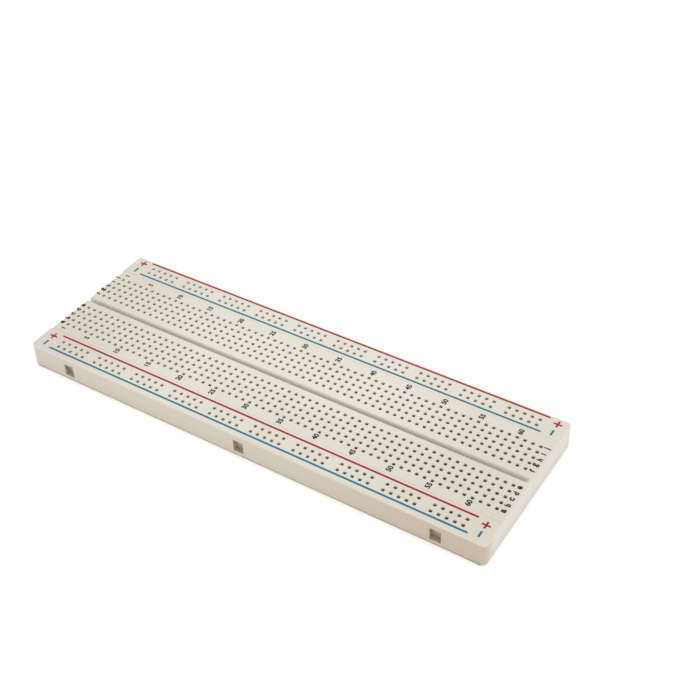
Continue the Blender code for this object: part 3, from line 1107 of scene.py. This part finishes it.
def ivory(slot_face):
    """A recipe for the moulded plastic of the strip whose slots open in that face along Y."""

    def recipe(place):
        """Two close ivories in clouds, a spark texture, and painted shade on the walls and in the
        recesses.
        """
        clouds = noise(place, 28.0, 3.0)
        flow = noise(place, 90.0, stretch=(0.25, 1.0, 1.0))
        grain = noise(place, 5200.0, roughness=0.6)
        x, y, z = (place.node("ShaderNodeSeparateXYZ", {0: place}, output=axis) for axis in range(3))
        mix = (0.7 * clouds + 0.3 * flow).between(0.34, 0.66)
        base = mix.blend(colour(0.728, 0.695, 0.638), colour(0.698, 0.665, 0.606))
        base = wall_and_top(base, x, y, z)
        base = hole_bores(base, x, y, z)
        base = channel_and_slots(base, x, y, z, slot_face)
        roughness = 0.40 + 0.10 * flow + 0.05 * grain
        return {"Base Color": base, "Roughness": roughness, "Normal": bumped(place, grain, 2e-5, 0.25)}

    return recipe


soft = {"Specular_IOR_Level": 0.42, "Subsurface_Weight": 0.12, "Subsurface_Scale": 0.0008}
soft["Subsurface_Radius"] = (1.0, 0.7, 0.4)
# One ivory for each strip, so that its painted slot shade falls in that strip's own slots.
for strip in housings:
    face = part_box(strip)[0].y
    name = f"ivory_plastic_{BUSES.get(strip, 'terminal')}"
    finishes[strip] = finish_of(name, ivory(face), **soft)
print(sorted(finishes))

# %% [markdown]
# ## Floor
#
# The board lies on a plain white sweep, which glows faintly so that it stays pale without
# washing out the board. It is one quad so large that its edges lie far off, at the horizon.

# %% Floor
FLOOR = 30.0  # metres from its middle to each side
ground = bpy.data.meshes.new("floor")
floor_corners = [(x, y, 0.0) for x, y in rectangle(-FLOOR, FLOOR, -FLOOR, FLOOR)]
ground.from_pydata(floor_corners, [], [(0, 1, 2, 3)])
floor = bpy.data.objects.new("floor", ground)
bpy.context.scene.collection.objects.link(floor)


def sweep(place):
    """Plain white board with the faintest mottling."""
    mottle = noise(place, 6.0).between(0.3, 0.7)
    return {"Base Color": mottle.blend(colour(0.59, 0.59, 0.587), colour(0.61, 0.61, 0.607))}


lit = {"Emission_Color": colour(1.0, 1.0, 1.0), "Emission_Strength": 0.44}
ground.materials.append(finish_of("floor", sweep, Roughness=0.9, Specular_IOR_Level=0.1, **lit))
print("floor", 2 * FLOOR, "m wide")

# %% [markdown]
# ## Light
#
# Even studio light: a bright, slightly warm surround, and one large, slightly cool lamp nearly
# overhead, a little to the right and the front, which leaves the side walls darker than the top.

# %% Light
world = bpy.data.worlds.new("surround")
world.use_nodes = True
background = world.node_tree.nodes["Background"]
background.inputs["Color"].default_value = (1.0, 0.975, 0.935, 1.0)
background.inputs["Strength"].default_value = 0.84
bpy.context.scene.world = world

light = bpy.data.lights.new("key", "AREA")
light.energy = 12.0
light.size = 1.2
light.color = (0.92, 0.98, 1.0)
key = bpy.data.objects.new("key", light)
bpy.context.scene.collection.objects.link(key)
key.location = (0.32, -0.1, 1.80)
key.rotation_euler = (-key.location).to_track_quat("-Z", "Y").to_euler()
print("lamp", light.energy, "W")

# %% [markdown]
# ## Camera
#
# The board is seen from the front, the right and above, through a moderately long lens. The
# picture has no film curve, so that the plastic's pale tones stay as they are.

# %% Camera
camera_data = bpy.data.cameras.new("camera")
camera_data.lens = 62.6745
camera_data.sensor_width = 36.0
camera_data.clip_start = 0.01
camera = bpy.data.objects.new("camera", camera_data)
bpy.context.scene.collection.objects.link(camera)
camera.location = (0.1705, -0.2243, 0.2602)
camera.rotation_euler = Euler([radians(angle) for angle in (49.580, 1.345, 32.221)])
bpy.context.scene.camera = camera
bpy.context.scene.view_settings.view_transform = "Standard"
print("lens", round(camera_data.lens, 1), "mm")

# %% [markdown]
# ## Pieces on the CAD bodies
#
# Each piece rides on its CAD body, so that a bus strip slides off with its contacts, tape and
# print. Each also hides the CAD nodes that it was drawn from, and takes its finish.

# %% Pieces on the CAD bodies


def place_on(made, body, slot, *nodes, finish=None):
    """One piece: its finish, looked up by finish or else by slot, its body, and the CAD nodes that it
    hides.
    """
    made.data.materials.clear()
    made.data.materials.append(finishes[finish or slot])
    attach(made, body)
    if nodes:
        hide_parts(*nodes)


for strip, made in housings.items():
    place_on(made, BUSES.get(strip, "terminal"), "ivory_plastic", strip, finish=strip)
for made, bank in contacts.values():
    place_on(made, "terminal", "contact_metal", bank)
for name, (made, body) in rails.items():
    place_on(made, body, "contact_metal", name)
for name, (made, body) in pads.items():
    place_on(made, body, "tape_foam" if name.endswith("foam") else "liner_paper", name)
for made, body, slot in prints.values():
    place_on(made, body, slot)
print(sum(len(group) for group in (housings, contacts, rails, pads, prints)), "pieces")

# %% [markdown]

# %% [markdown]
